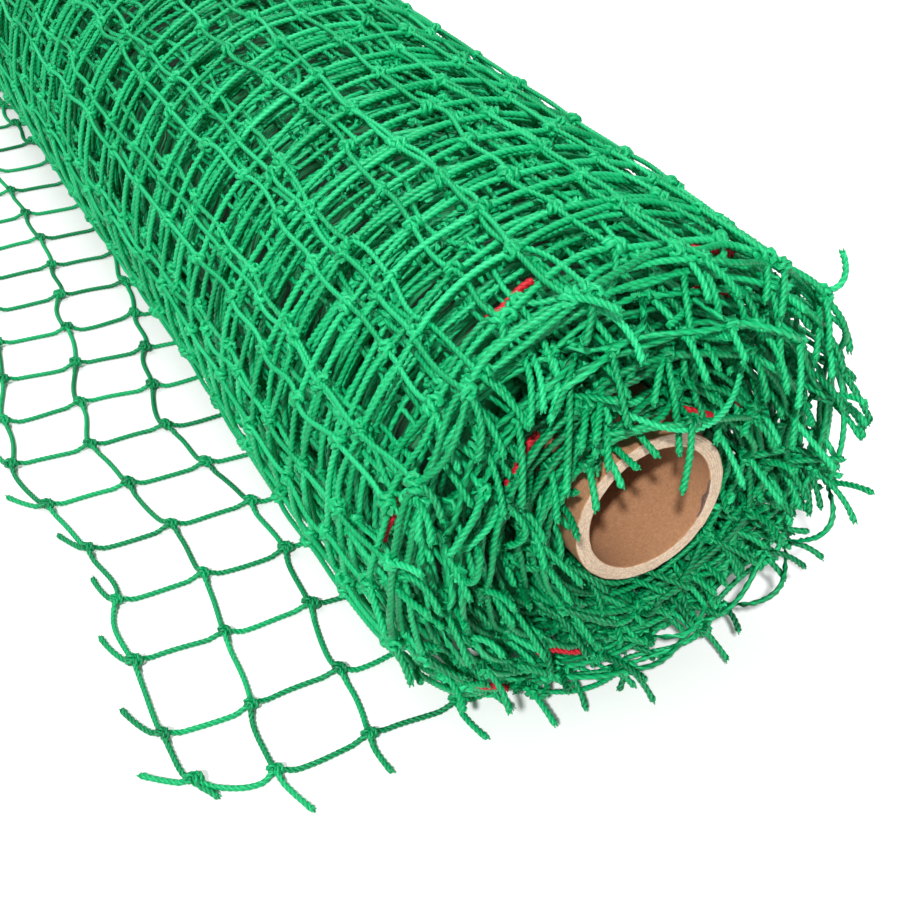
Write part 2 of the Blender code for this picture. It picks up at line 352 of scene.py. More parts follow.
def twine_object(name, parts, material):
    points, fibre, groove, shade, faces = gathered(parts)
    points[:, 2] = np.maximum(points[:, 2], 0.0)  # what touches the floor is pressed flat on it
    mesh = bpy.data.meshes.new(name)
    loops = np.concatenate([rows.ravel() for rows in faces]).astype(np.int32)
    sizes = np.concatenate([np.full(len(rows), rows.shape[1]) for rows in faces])
    mesh.vertices.add(len(points))
    mesh.vertices.foreach_set("co", points.astype(np.float32).ravel())
    mesh.loops.add(len(loops))
    mesh.loops.foreach_set("vertex_index", loops)
    mesh.polygons.add(len(sizes))
    mesh.polygons.foreach_set("loop_start", (np.cumsum(sizes) - sizes).astype(np.int32))
    mesh.polygons.foreach_set("use_smooth", sizes == 4)
    point_values(mesh, "fibre", "FLOAT_VECTOR", "vector", fibre)
    point_values(mesh, "groove", "FLOAT", "value", groove)
    point_values(mesh, "shade", "FLOAT", "value", shade)
    mesh.update(calc_edges=True)
    mesh.validate()
    mesh.materials.append(material)
    return linked(name, mesh)


# ---------------------------------------------------------------- knots
def coil(turns, radius, pitch, rings, lean, begin):
    """A short helix about the X axis, its ends tucked in towards that axis."""
    share = np.linspace(0.0, 1.0, rings)
    angle = begin + 2 * np.pi * turns * share
    tuck = 1 - bump(share, 0.0, 0.08, 0.5) - bump(1 - share, 0.0, 0.08, 0.5)
    x = pitch * turns * (share - 0.5) + lean * radius * np.sin(angle)
    return np.stack([x, radius * tuck * np.cos(angle), radius * tuck * np.sin(angle)], -1)


def knot_template(rings, sides, version):
    """A netting knot about its own origin. The twines run along X and Y, and +Z is the side that shows."""
    swing = 0.7 * version
    wrap = coil(1.7, 0.0018, 0.0020, rings, 0.35, 0.6 + swing) * np.array([1.0, 1.0, 0.9])
    bight = coil(1.3, 0.0019, 0.0022, max(rings * 2 // 3, 8), -0.3, 2.4 - swing)[:, [1, 0, 2]]
    wrap = wrap + np.array([0.0013, -0.0003, 0.0])
    bight = bight * np.array([1.0, 1.0, 0.85]) + np.array([-0.0004, 0.0013, 0.0002])
    return gathered([
        swept(wrap[None], ALONG_X, KNOT_TWINE, sides),
        swept(bight[None], ALONG_Y, KNOT_TWINE, sides),
    ])


def knots(places, ahead, outward, rings, sides, lift=0.0, any_way_up=True, shift=0.0, size=1.0):
    """A knot at each place, its X along ahead and its Z along outward."""
    count = len(places)
    across = np.cross(outward, ahead)
    spin = random.uniform(-0.25, 0.25, count)
    flip = np.ones((count, 1))
    if any_way_up:
        spin = 2 * spin + np.pi * random.integers(0, 2, count)
        flip = random.choice([-1.0, 1.0], count)[:, None]
    along = ahead * np.cos(spin)[:, None] + across * np.sin(spin)[:, None]
    along = unit(along + outward * random.uniform(-0.25, 0.25, count)[:, None])
    up = unit(outward * flip - along * (outward * flip * along).sum(-1, keepdims=True))
    sizes = size * random.uniform(0.92, 1.12, count)
    turns = np.stack([along, np.cross(up, along), up], -1) * sizes[:, None, None]
    shade = random.uniform(0.25, 0.75, count) + shift
    version = random.integers(0, 3, count)
    raised = places + outward * lift
    parts = []
    for number in range(3):
        chosen = version == number
        if chosen.any():
            template = knot_template(rings, sides, number)
            parts.append(stamped(template, turns[chosen], raised[chosen], shade[chosen]))
    return gathered(parts)


# ---------------------------------------------------------------- materials
def new_material(name):
    material = bpy.data.materials.new(name)
    material.use_nodes = True
    nodes = material.node_tree.nodes
    return material, nodes, material.node_tree.links, nodes["Principled BSDF"]


def attribute(nodes, name):
    node = nodes.new("ShaderNodeAttribute")
    node.attribute_name = name
    return node.outputs


def noise(nodes, links, place, scale, detail):
    node = nodes.new("ShaderNodeTexNoise")
    node.inputs["Scale"].default_value = scale
    node.inputs["Detail"].default_value = detail
    links.new(place, node.inputs["Vector"])
    return node


def streaks(nodes, links, place, scale, detail):
    """Noise that is drawn out along the axes whose scale is low."""
    stretch = nodes.new("ShaderNodeMapping")
    stretch.inputs["Scale"].default_value = scale
    links.new(place, stretch.inputs["Vector"])
    return noise(nodes, links, stretch.outputs["Vector"], 1.0, detail).outputs["Fac"]


def scaled_sum(nodes, links, value, scale, added):
    """value x scale + added"""
    node = nodes.new("ShaderNodeMath")
    node.operation = "MULTIPLY_ADD"
    links.new(value, node.inputs[0])
    node.inputs[1].default_value = scale
    links.new(added, node.inputs[2])
    return node.outputs["Value"]


def coloured(nodes, links, shader, tone, stops):
    """Gives the shader the colour that tone, from 0 to 1, has among the stops, (position, colour)."""
    ramp = nodes.new("ShaderNodeValToRGB")
    while len(ramp.color_ramp.elements) < len(stops):
        ramp.color_ramp.elements.new(0.5)
    for element, (position, colour) in zip(ramp.color_ramp.elements, stops):
        element.position = position
        element.color = (*colour, 1.0)
    links.new(tone, ramp.inputs["Fac"])
    links.new(ramp.outputs["Color"], shader.inputs["Base Color"])


def embossed(nodes, links, shader, height, strength, distance):
    relief = nodes.new("ShaderNodeBump")
    relief.inputs["Strength"].default_value = strength
    relief.inputs["Distance"].default_value = distance
    links.new(height, relief.inputs["Height"])
    links.new(relief.outputs["Normal"], shader.inputs["Normal"])


def twine_material(name, colours, sheen):
    """Drawn plastic strands: fine streaks along each one, painted shade in the grooves between the strands,
    and a few pale fibres.
    """
    material, nodes, links, shader = new_material(name)
    fibres = streaks(nodes, links, attribute(nodes, "fibre")["Vector"], (9.0, 9.0, 420.0), 3.0)
    # painted shade: the colour is darker where the groove between two strands is deeper
    groove_shaded = scaled_sum(nodes, links, attribute(nodes, "groove")["Fac"], -0.22, fibres)
    tone = scaled_sum(nodes, links, attribute(nodes, "shade")["Fac"], 0.30, groove_shaded)
    dark, middle, light = colours
    darkest = tuple(0.15 * value for value in dark)
    coloured(nodes, links, shader, tone, ((0.0, darkest), (0.20, dark), (0.52, middle), (0.86, light)))
    embossed(nodes, links, shader, fibres, 0.44, 0.00025)
    shader.inputs["Roughness"].default_value = 0.40
    shader.inputs["Specular IOR Level"].default_value = 0.45
    shader.inputs["Specular Tint"].default_value = (*sheen, 1.0)
    return material


def board_material(name, colours, scale, roughness):
    material, nodes, links, shader = new_material(name)
    place = nodes.new("ShaderNodeTexCoord").outputs["Object"]
    grain = noise(nodes, links, place, scale, 6.0)
    grain.inputs["Roughness"].default_value = 0.7
    low, high = colours
    coloured(nodes, links, shader, grain.outputs["Fac"], ((0.3, low), (0.7, high)))
    embossed(nodes, links, shader, grain.outputs["Fac"], 0.4, 0.0003)
    shader.inputs["Roughness"].default_value = roughness
    return material


def deep_material(name, colours):
    """The look of many twines side by side, deep in the roll: light and dark streaks that run round it,
    painted darker than the twine's own green as painted shade.
    """
    material, nodes, links, shader = new_material(name)
    place = nodes.new("ShaderNodeTexCoord").outputs["Object"]
    twines = streaks(nodes, links, place, (28.0, 380.0, 28.0), 2.0)
    low, high = colours
    coloured(nodes, links, shader, twines, ((0.42, low), (0.58, high)))
    embossed(nodes, links, shader, twines, 1.0, 0.002)
    shader.inputs["Roughness"].default_value = 0.6
    return material


green = twine_material("green_polyethylene", GREENS, GREEN_SHEEN)
red = twine_material("red_polyethylene", REDS, RED_SHEEN)
kraft = board_material("kraft_board", KRAFTS, 900.0, 0.85)
# a dark patch painted on the bore, just inside the near mouth
dark_patch = board_material("dark_patch_board", DARK_PATCH_COLOURS, 700.0, 0.7)
cut_board = board_material("cut_board", CUT_BOARDS, 1100.0, 0.95)

# ---------------------------------------------------------------- the wound net's lattice
# s is a length along the net from under the roll's axis. A column is a crosswise twine and a row a lengthwise
# one.
wound_length = (OUTER_RADIUS**2 - INNERMOST_TURN**2) / (2 * SPIRAL)
COLUMNS = int((wound_length - FIRST_WOUND_S) / COLUMN_PITCH)


def turned_through(s):
    """The angle that the roll has turned through where s metres of net are wound."""
    return (OUTER_RADIUS - np.sqrt(OUTER_RADIUS**2 - 2 * SPIRAL * s)) / SPIRAL


def turn_radius(s):
    return OUTER_RADIUS - SPIRAL * turned_through(s)


def share_inwards(radius):
    """0 at the outermost turn and 1 at the innermost."""
    return (OUTER_RADIUS - radius) / (OUTER_RADIUS - INNERMOST_TURN)


def on_roll(s, y, lift):
    """The place s metres along the wound net, at y, raised by lift above its turn."""
    angle = turned_through(s) - np.pi / 2
    radius = turn_radius(s) + lift
    z = AXIS_Z + radius * np.sin(angle)
    lowest_turn = AXIS_Z - OUTER_RADIUS
    pressed = SQUASH_BELOW - (SQUASH_BELOW - z) * (SQUASH_BELOW - LOWEST) / (SQUASH_BELOW - lowest_turn)
    z = np.maximum(np.where(z < SQUASH_BELOW, pressed, z), LOWEST)
    centre_x = ROLL_X + (CORE_X - ROLL_X) * share_inwards(turn_radius(s))
    return np.stack([centre_x + radius * np.cos(angle), y, z], -1)


def roll_directions(s):
    """(forwards along the net, away from the axis) where s metres are wound."""
    angle = turned_through(s) - np.pi / 2
    nothing = np.zeros_like(angle)
    forwards = np.stack([-np.sin(angle), nothing, np.cos(angle)], -1)
    outward = np.stack([np.cos(angle), nothing, np.sin(angle)], -1)
    return forwards, outward


column_numbers = np.arange(COLUMNS)
row_numbers = np.arange(ROWS)
column_s = FIRST_WOUND_S + COLUMN_PITCH * column_numbers
column_turn = turned_through(column_s) / (2 * np.pi)
column_angle = (2 * np.pi * column_turn) % (2 * np.pi) - np.pi / 2
column_degrees = np.degrees(column_angle)
inwards = share_inwards(turn_radius(column_s))
stand_out = INNER_STAND_OUT * (1 - (1 - inwards) ** 2) + bump(1 - inwards, 0.0, 0.15, 0.004)
row_share = row_numbers / CELLS_ACROSS - 0.5
from_end = np.minimum(row_numbers, CELLS_ACROSS - row_numbers)

# It is less at the roll's ends than in between, and none next to the loose end.
drift = soft_noise((COLUMNS,), (DRIFT_REACH,), 1.0) * (DRIFT[0] + DRIFT[1] * smooth_step(column_turn / 2.5))
drift = np.where(column_numbers < 6, drift * column_numbers / 6, drift)
drift = drift + DRIFT_AT_TOP * (1 + np.sin(column_angle)) * (0.35 + 0.65 * (1 - inwards))
drift_at_ends = 0.45 - 0.25 * inwards
drift_share = drift_at_ends + (1 - drift_at_ends) * smooth_step(from_end / 4)[:, None]

knot_y = row_share[:, None] * (NET_WIDTH + 2 * stand_out) + drift * drift_share
knot_y = knot_y + net_noise(*WAVES_Y) + random.normal(0, JITTER_Y, (ROWS, COLUMNS))
knot_y = knot_y + fading(from_end, 0.5)[:, None] * random.normal(0, JITTER_Y_AT_EDGE, (ROWS, COLUMNS))
knot_s = column_s + net_noise(*WAVES_S) + random.normal(0, JITTER_S, (ROWS, COLUMNS))
knot_lift = net_noise(*WAVES_LIFT) + random.normal(0, JITTER_LIFT, (ROWS, COLUMNS))
end_droop = fading(from_end, 0.55)[:, None] * (END_DROOP * fading(column_turn, 1.5))
knot_lift = np.minimum(knot_lift, HIGHEST_LIFT) - end_droop * random.uniform(0.4, 1.6, (ROWS, COLUMNS))
slack = bump(column_degrees, STANDS_OFF_AT, 36.0) * fading(row_numbers, 0.8)[:, None]
knot_lift = knot_lift + EDGE_STANDS_OFF * slack * (column_turn < 1.0)
drawn_in = bump(column_degrees, DRAWN_IN_AT, 26.0) * fading(np.abs(column_turn - 0.9), 2.0)
knot_y = knot_y + EDGE_DRAWN_IN * drawn_in * fading(row_numbers, 1.4)[:, None]
knot_y[:, 0] = row_share * NET_WIDTH
lean_y = net_noise(*LEAN_Y)
lean_s = net_noise(*LEAN_S)
far_from_marks = distance_to_marks(on_roll(column_s, np.zeros(COLUMNS), 0.0)) > CLEAR_OF_MARKS
hangs = (random.random(COLUMNS) < HANGING_SHARE) & (column_turn > 1.0) & far_from_marks & (inwards < 0.75)


def shades(count, shift=0.0):
    return random.uniform(0.15, 0.85, count) + shift


def lengthwise_parts(rows, columns, rings, lay=LAY, shift=0.0):
    """The twines from each (row, column) knot to the next one along the net."""
    share = np.linspace(0.0, 1.0, rings)
    kink = random.normal(0, LENGTHWISE_KINK, (2, len(rows)))
    after = columns + 1
    edge = (rows == 0).astype(float) - (rows == CELLS_ACROSS)
    loop = hangs[columns] * np.abs(edge) * random.uniform(0.5, 1.0, len(rows))
    near_edge = fading(np.minimum(rows, CELLS_ACROSS - rows), 0.7)
    kink = kink + random.normal(0, EDGE_KINK, (2, len(rows))) * near_edge * (column_turn[columns] > 0.5)
    s = between(knot_s[rows, columns], knot_s[rows, after], 0, 0, share)
    leave = lean_y[rows, columns] + kink[0] - HANGS_OUT * edge * loop
    arrive = lean_y[rows, after] + kink[1] + HANGS_OUT * edge * loop
    y = between(knot_y[rows, columns], knot_y[rows, after], leave, arrive, share)
    sag = random.normal(*LENGTHWISE_SAG, (2, len(rows))) * (1 + 2.5 * near_edge) - HANGS_DOWN * loop
    lift = between(knot_lift[rows, columns], knot_lift[rows, after], sag[0], -sag[1], share) - 0.0003
    # painted shade on the edge bars under the outer turn
    covered = np.abs(edge) * (column_turn[columns] > 1.0)
    shade = shades(len(rows), shift) + COVERED_EDGE_SHADE * covered
    return swept(on_roll(s, y, lift), ALONG_Y, LENGTHWISE_TWINE, PLAIN, shade, lay)


def crosswise_parts(rows, columns, rings, lay=LAY, shift=0.0):
    """The twines from each (row, column) knot to the next one across the net."""
    share = np.linspace(0.0, 1.0, rings)
    kink = random.normal(0, CROSSWISE_KINK, (2, len(rows)))
    after = rows + 1
    y = between(knot_y[rows, columns], knot_y[after, columns], 0, 0, share)
    leave = lean_s[rows, columns] + kink[0]
    arrive = lean_s[after, columns] + kink[1]
    s = between(knot_s[rows, columns], knot_s[after, columns], leave, arrive, share)
    rise = random.normal(*CROSSWISE_RISE, (2, len(rows)))
    lift = between(knot_lift[rows, columns], knot_lift[after, columns], rise[0], -rise[1], share) + 0.0006
    path = on_roll(s, y, np.minimum(lift, 0.0026))
    side = roll_directions(s)[0]
    return swept(path, side, CROSSWISE_TWINE, PLAIN, shades(len(rows), shift), lay)


def knot_parts(rows, columns, rings, shift=0.0):
    s = knot_s[rows, columns]
    places = on_roll(s, knot_y[rows, columns], knot_lift[rows, columns])
    places[:, 2] = np.maximum(places[:, 2], KNOT_HALF_HEIGHT)
    forwards, outward = roll_directions(s)
    return knots(places, forwards, outward, rings, PLAIN, lift=0.0003, shift=shift)


def grid(rows, columns):
    return (chosen.ravel() for chosen in np.meshgrid(rows, columns, indexing="ij"))


net_pieces = []
whole_turn = np.maximum(np.floor(column_turn), 0)
halves = {"near": row_numbers[: ROWS // 2 + 1], "far": row_numbers[ROWS // 2 + 1 :]}
for number, (rings, knot_rings, lay) in enumerate(TURNS, start=1):
    columns = np.flatnonzero(whole_turn == number - 1)
    for side_name, rows in halves.items():
        length_rows, length_columns = grid(rows, columns)
        cross_rows, cross_columns = grid(rows[rows < CELLS_ACROSS], columns)
        parts = {
            "lengthwise": [lengthwise_parts(length_rows, length_columns, rings, lay)],
            "crosswise": [crosswise_parts(cross_rows, cross_columns, rings, lay)],
            "knots": [knot_parts(length_rows, length_columns, knot_rings)],
        }
        if rings < MANY_RINGS:
            parts = {"net": parts["lengthwise"] + parts["crosswise"] + parts["knots"]}
        for kind, made in parts.items():
            net_pieces.append(twine_object(f"turn_{number}_{kind}_{side_name}", made, green))

# ---------------------------------------------------------------- the deeper turns, seen at the roll's ends
deeper = np.flatnonzero(column_turn >= len(TURNS))[:-1]
for end_name, rows, rings in (("near", row_numbers[:2], 24), ("far", row_numbers[-2:], 19)):
    length_rows, length_columns = grid(rows, deeper)
    cross_rows, cross_columns = grid(rows[:1], deeper)
    parts = [
        lengthwise_parts(length_rows, length_columns, rings, shift=DEEP_LENGTHWISE_SHADE),
        crosswise_parts(cross_rows, cross_columns, rings, shift=DEEP_CROSSWISE_SHADE),
        knot_parts(length_rows, length_columns, 12, shift=DEEP_KNOT_SHADE),
    ]
    twine_object(f"deeper_turns_{end_name}", parts, green)


# ---------------------------------------------------------------- the cut ends
def clear_of_core(path, spare):
    """Pushes a path out of the tube's wall and off the floor."""
    x = path[..., 0] - CORE_X
    z = path[..., 2] - AXIS_Z
    away = np.hypot(x, z)
    beside_tube = np.abs(path[..., 1]) < -CORE_END_Y + spare
    least = CORE_RADIUS + spare
    push = np.where(beside_tube & (away < least), least / np.maximum(away, 1e-6), 1.0)
    path[..., 0] = CORE_X + x * push
    path[..., 2] = np.maximum(AXIS_Z + z * push, LOWEST)
    return path


def tail_paths(end, rings):
    """Every crosswise twine's cut end, from its last knot. end is -1 at the near end and 1 at the far."""
    row = 0 if end < 0 else CELLS_ACROSS
    s = knot_s[row]
    start = on_roll(s, knot_y[row], knot_lift[row])
    forwards, outward = roll_directions(s)
    height = smooth_step((start[:, 2] - 0.02) / 0.14)[:, None]
    outermost = fading(column_turn, 1.2)[:, None]
    by_tube = smooth_step((inwards - 0.75) / 0.2)[:, None]
    direction = end * ALONG_Y + forwards * random.normal(0.15, 0.55, (COLUMNS, 1)) * (1 - 0.45 * by_tube)
    outwards = random.normal(0.05, 0.42, (COLUMNS, 1)) - 0.10 * outermost - 0.15 * by_tube
    direction = unit(direction + outward * outwards - 0.20 * ALONG_Z * height + 0.50 * ALONG_X * (1 - height))
    length = random.uniform(*TAIL_LENGTHS, COLUMNS) + np.maximum(random.normal(0, 0.003, COLUMNS), 0)
    low = 1 - height[:, 0]
    length = length * (1 - 0.25 * low) * (1 - 0.68 * fading(column_turn, 2.5) * low)
    length = np.where(distance_to_marks(start) < NEAR_MARK, np.minimum(length, TAIL_BY_MARK), length)
    droop = (0.25 + 1.25 * height) * random.uniform(0.3, 1.3, (COLUMNS, 1))
    curled = random.random((COLUMNS, 1)) < CURLED_SHARE
    towards = unit(random.standard_normal((COLUMNS, 3)))
    curl = towards * (random.uniform(0.0, 1.2, (COLUMNS, 1)) + 2.2 * curled)
    step = length / (rings - 1)
    path = np.empty((COLUMNS, rings, 3))
    path[:, 0] = start
    for ring in range(1, rings):
        weight = -ALONG_Z * droop * (0.5 + ring / (rings - 1))
        direction = unit(direction + (weight + curl) / (rings - 1))
        path[:, ring] = path[:, ring - 1] + direction * step[:, None]
    return clear_of_core(path, TWINE * 1.15)


def frayed_tips(paths, strands=4):
    """The cut strands at each path's end, spread a little."""
    tips = []
    ahead = unit(paths[:, -1] - paths[:, -3])
    across = unit(np.cross(ahead, np.array((0.3, 0.2, 0.9))))
    over = np.cross(ahead, across)
    share = np.linspace(0.0, 1.0, 5)
    radius = FRAYED_STRAND * (1 - 0.55 * share)
    share = share[None, :, None]
    inside = 0.0012  # how far back in the twine a strand begins
    for _ in range(strands):
        angle = random.uniform(0, 2 * np.pi, len(paths))[:, None]
        away = across * np.cos(angle) + over * np.sin(angle)
        reach = random.uniform(0.0003, 0.0014, len(paths))[:, None]
        spread = random.uniform(0.05, 0.30, len(paths))[:, None]
        begin = paths[:, -1] - ahead * inside + away * TWINE * 0.45
        route = begin[:, None] + ahead[:, None] * (share * (reach + inside)[:, None])
        route = route + away[:, None] * (share**2 * (reach * spread)[:, None])
        route[..., 2] = np.maximum(route[..., 2], 0.0007)
        tips.append(swept(route, across[:, None], radius, PLAIN, shades(len(paths)) * 0.5))
    return tips


def swollen_end(rings):
    """A cut end's radius along its length: a little thicker where it starts to come undone."""
    share = np.linspace(0.0, 1.0, rings)
    return TWINE * (1 + 0.14 * smooth_step((share - 0.75) / 0.2) - 0.22 * smooth_step((share - 0.96) / 0.04))


for end_name, end, sides, rings in (("near", -1, FINE, 24), ("far", 1, PLAIN, 18)):
    paths = tail_paths(end, rings)
    low_down = 1 - smooth_step((paths[:, 0, 2] - 0.01) / 0.12)
    # Painted shade: the cut ends are painted darker, all but a random pale share, and darker still the lower
    # they start.
    shade = shades(COLUMNS, -0.45) + 0.45 * (random.random(COLUMNS) < PALE_SHARE) - 0.5 * low_down
    parts = [swept(paths, np.array((0.9, 0.0, 0.3)), swollen_end(rings), sides, shade)] + frayed_tips(paths)
    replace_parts(twine_object(f"cut_ends_{end_name}", parts, green), f"{end_name}_cut_ends")


def curved(points, rings):
    """A smooth path from the first of four points to the last, drawn towards the two between them."""
    share = np.linspace(0.0, 1.0, rings)[:, None]
    weights = ((1 - share) ** 3, 3 * share * (1 - share) ** 2, 3 * share**2 * (1 - share), share**3)
    around, radius, y = sum(weight * np.array(point) for weight, point in zip(weights, points)).T
    angle = np.radians(around)
    return np.stack([ROLL_X + radius * np.cos(angle), y, AXIS_Z + radius * np.sin(angle)], -1)


strays = [clear_of_core(curved(points, 40)[None], TWINE * 1.2) for points in STRAY_TWINES]
parts = [swept(path, np.array((0.1, 0.9, 0.3)), TWINE, FINE, 0.85) for path in strays]
parts += frayed_tips(strays[1])
twine_object("stray_twines", parts, green)
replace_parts(net_pieces[0], "wound_net")


# ---------------------------------------------------------------- the dark inside of the roll
def filling():
    """Rings of points round one bumpy body, as the turns deep in the roll, and in to the tube at its ends."""
    around = np.linspace(0, 2 * np.pi, 181)[:-1]
    y = np.linspace(-1.0, 1.0, 260)[:, None] * (NET_WIDTH / 2 + 0.5 * INNER_STAND_OUT - FILLING_SHORT)
    radius = FILLING_RADIUS + soft_noise((len(y), len(around)), (1.2, 1.0), 0.0008)
    z = np.maximum(AXIS_Z + radius * np.sin(around), 0.004)
    body = np.stack([ROLL_X + radius * np.cos(around), y * np.ones_like(radius), z], -1)
    inner_rings = []
    for ring in (body[:1], body[-1:]):
        angle = np.arctan2(ring[..., 2] - AXIS_Z, ring[..., 0] - ROLL_X)
        inner = ring.copy()
        inner[..., 0] = CORE_X + (CORE_RADIUS + 0.0008) * np.cos(angle)
        inner[..., 2] = AXIS_Z + (CORE_RADIUS + 0.0008) * np.sin(angle)
        inner_rings.append(inner)
    return np.concatenate([inner_rings[0], body, inner_rings[1]])


def ring_object(name, rings, material):
    """A closed object over rings of points, of which the last joins the first."""
    here = np.arange(rings.shape[0] * rings.shape[1]).reshape(rings.shape[:2])
    after = np.roll(here, -1, axis=1)
    faces = np.stack([here, after, np.roll(after, -1, axis=0), np.roll(here, -1, axis=0)], -1)
    mesh = bpy.data.meshes.new(name)
    mesh.from_pydata(rings.reshape(-1, 3).tolist(), [], faces.reshape(-1, 4).tolist())
    mesh.validate()
    mesh.polygons.foreach_set("use_smooth", np.ones(len(mesh.polygons), bool))
    mesh.materials.append(material)
    return linked(name, mesh)


ring_object("deep_turns", filling(), deep_material("deep_green_painted_shade", DEEP_SHADE_GREENS))


# ---------------------------------------------------------------- the loose end
def wander(y):
    """How far the loose end has strayed at y: towards the roll if positive, away from it if negative."""
    waves = bump(y, 0.0, 0.045, -0.007) + bump(y, 0.125, 0.045, 0.006) + bump(y, 0.228, 0.045, -0.012)
    unseen_waves = bump(y, 0.66, 0.09, -0.010) + bump(y, 0.90, 0.07, -0.014)
    return waves + unseen_waves + 0.020 * smooth_step((y - 0.26) / 0.20)


def loose_knots():
    y = row_numbers * MESH
    places = np.zeros((ROWS, LOOSE_COLUMNS, 3))
    for column in range(LOOSE_COLUMNS - 1):
        places[:, column, 0] = EDGE_X + column * MESH + wander(y)
    places[:, -1, 0] = LAST_COLUMN_X + LAST_COLUMN_SHARE * wander(y)
    places[:, :, 1] = y[:, None]
    corner = bump(y, 0.0, 0.035)
    places[:, 0, 0] += 0.010 * corner
    places[:, 0, 1] += 0.009 * corner
    places[1, :3, 1] -= np.array((0.006, 0.004, 0.002))  # the corner has pulled its neighbours towards it
    places[:, :, 0] += ROLL_X
    places[:, :, 1] += FIRST_ROW_Y
    places[:, :, 2] = KNOT_HALF_HEIGHT
    return places


def loose_bars(start, end, leave, arrive, rings, sideways):
    """A part of bars between knots, bowed sideways and resting on the floor between their ends."""
    share = np.linspace(0.0, 1.0, rings)
    path = start[:, None] + (end - start)[:, None] * share[:, None]
    path = path + sideways * between(0, 0, leave, arrive, share)[..., None]
    sink = smooth_step(np.minimum(share, 1 - share) / 0.22)
    path[..., 2] += (RESTING - path[..., 2]) * sink
    return swept(path, sideways, TWINE, FINE, shades(len(path), LOOSE_SHADE))


loose = loose_knots()
# The slopes of its bars at the knots: [lengthwise or crosswise, row, column, which side of the knot].
bow = random.normal(0, LOOSE_BOW, (2, ROWS, LOOSE_COLUMNS, 2))
bow[1, :, 0] *= 0.7
bow[0, 0, 0, 0] = -0.010  # the corner's own bar bows out of the net
bow[0, 0, 1, 1] = -0.045
parts = []
for column in range(LOOSE_COLUMNS - 1):
    leave = bow[0, :, column, 0] + 0.5 * lean_y[:, column]
    arrive = -bow[0, :, column + 1, 1] * 0.6 + 0.5 * lean_y[:, column + 1]
    parts.append(loose_bars(loose[:, column], loose[:, column + 1], leave, arrive, 38, ALONG_Y))
under = on_roll(knot_s[:, 0], loose[:, -1, 1], np.zeros(ROWS))
parts.append(loose_bars(loose[:, -1], under, bow[0, :, -1, 0] * 0.3, np.zeros(ROWS), 40, ALONG_Y))
for column in range(LOOSE_COLUMNS):
    leave = bow[1, :-1, column, 0] + lean_s[:-1, column] * 0.5
    arrive = bow[1, 1:, column, 0] + lean_s[1:, column] * 0.5
    parts.append(loose_bars(loose[:-1, column], loose[1:, column], leave, arrive, 40, ALONG_X))
bars_object = twine_object("loose_end_bars", parts, green)


def floor_tails(starts, direction, length, rings, turn_middle):
    """Cut ends that lie on the floor from these knots, turning a little to one side."""
    share = np.linspace(0.0, 1.0, rings)
    turn = random.normal(turn_middle, 0.18, (len(starts), 1))
    ahead = unit(direction)
    sideways = np.stack([-ahead[:, 1], ahead[:, 0], 0 * ahead[:, 0]], -1)
    path = starts[:, None] + ahead[:, None] * (share * length[:, None])[..., None]
    path = path + sideways[:, None] * (turn * share**2 * length[:, None] * 0.5)[..., None]
    path[..., 2] += (TWINE * 1.15 - path[..., 2]) * smooth_step(share / 0.3)
    return path


length = random.uniform(*FREE_EDGE_TAILS, ROWS)
direction = np.stack([random.normal(-0.70, 0.22, ROWS), np.ones(ROWS), np.zeros(ROWS)], -1)
direction[0] = (-1.0, 0.55, 0.0)
free_edge_tails = floor_tails(loose[:, 0], direction, length, LOOSE_TAIL_RINGS, -0.35)
outwards = np.repeat([-1.0, 1.0], LOOSE_COLUMNS)
direction = np.stack([random.normal(0, 0.2, len(outwards)), outwards, 0 * outwards], -1)
direction[:LOOSE_COLUMNS] = NEAR_TAIL_DIRECTIONS
length = random.uniform(*NET_SIDE_TAILS, len(outwards))
length[0] = CORNER_TAIL
starts = np.concatenate([loose[0], loose[-1]])
net_side_tails = floor_tails(starts, direction, length, LOOSE_TAIL_RINGS, 0.0)
tails = np.concatenate([free_edge_tails, net_side_tails])
shade = shades(len(tails), LOOSE_SHADE)
parts = [swept(tails, ALONG_Z, swollen_end(LOOSE_TAIL_RINGS), FINE, shade)] + frayed_tips(tails)
tails_object = twine_object("loose_end_cut_ends", parts, green)

places = loose.reshape(-1, 3)
ahead = np.tile(ALONG_X, (len(places), 1))
outward = np.tile(ALONG_Z, (len(places), 1))
part = knots(places, ahead, outward, 40, FINE, any_way_up=False, shift=LOOSE_KNOT_SHADE, size=LOOSE_KNOT_SIZE)
knots_object = twine_object("loose_end_knots", [part], green)

loose_nodes = [f"loose_length_twine_{number:02d}" for number in range(1, ROWS + 1)]
loose_nodes += [f"loose_cross_twine_{number}" for number in range(1, LOOSE_COLUMNS + 1)]
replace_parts(bars_object, *loose_nodes)


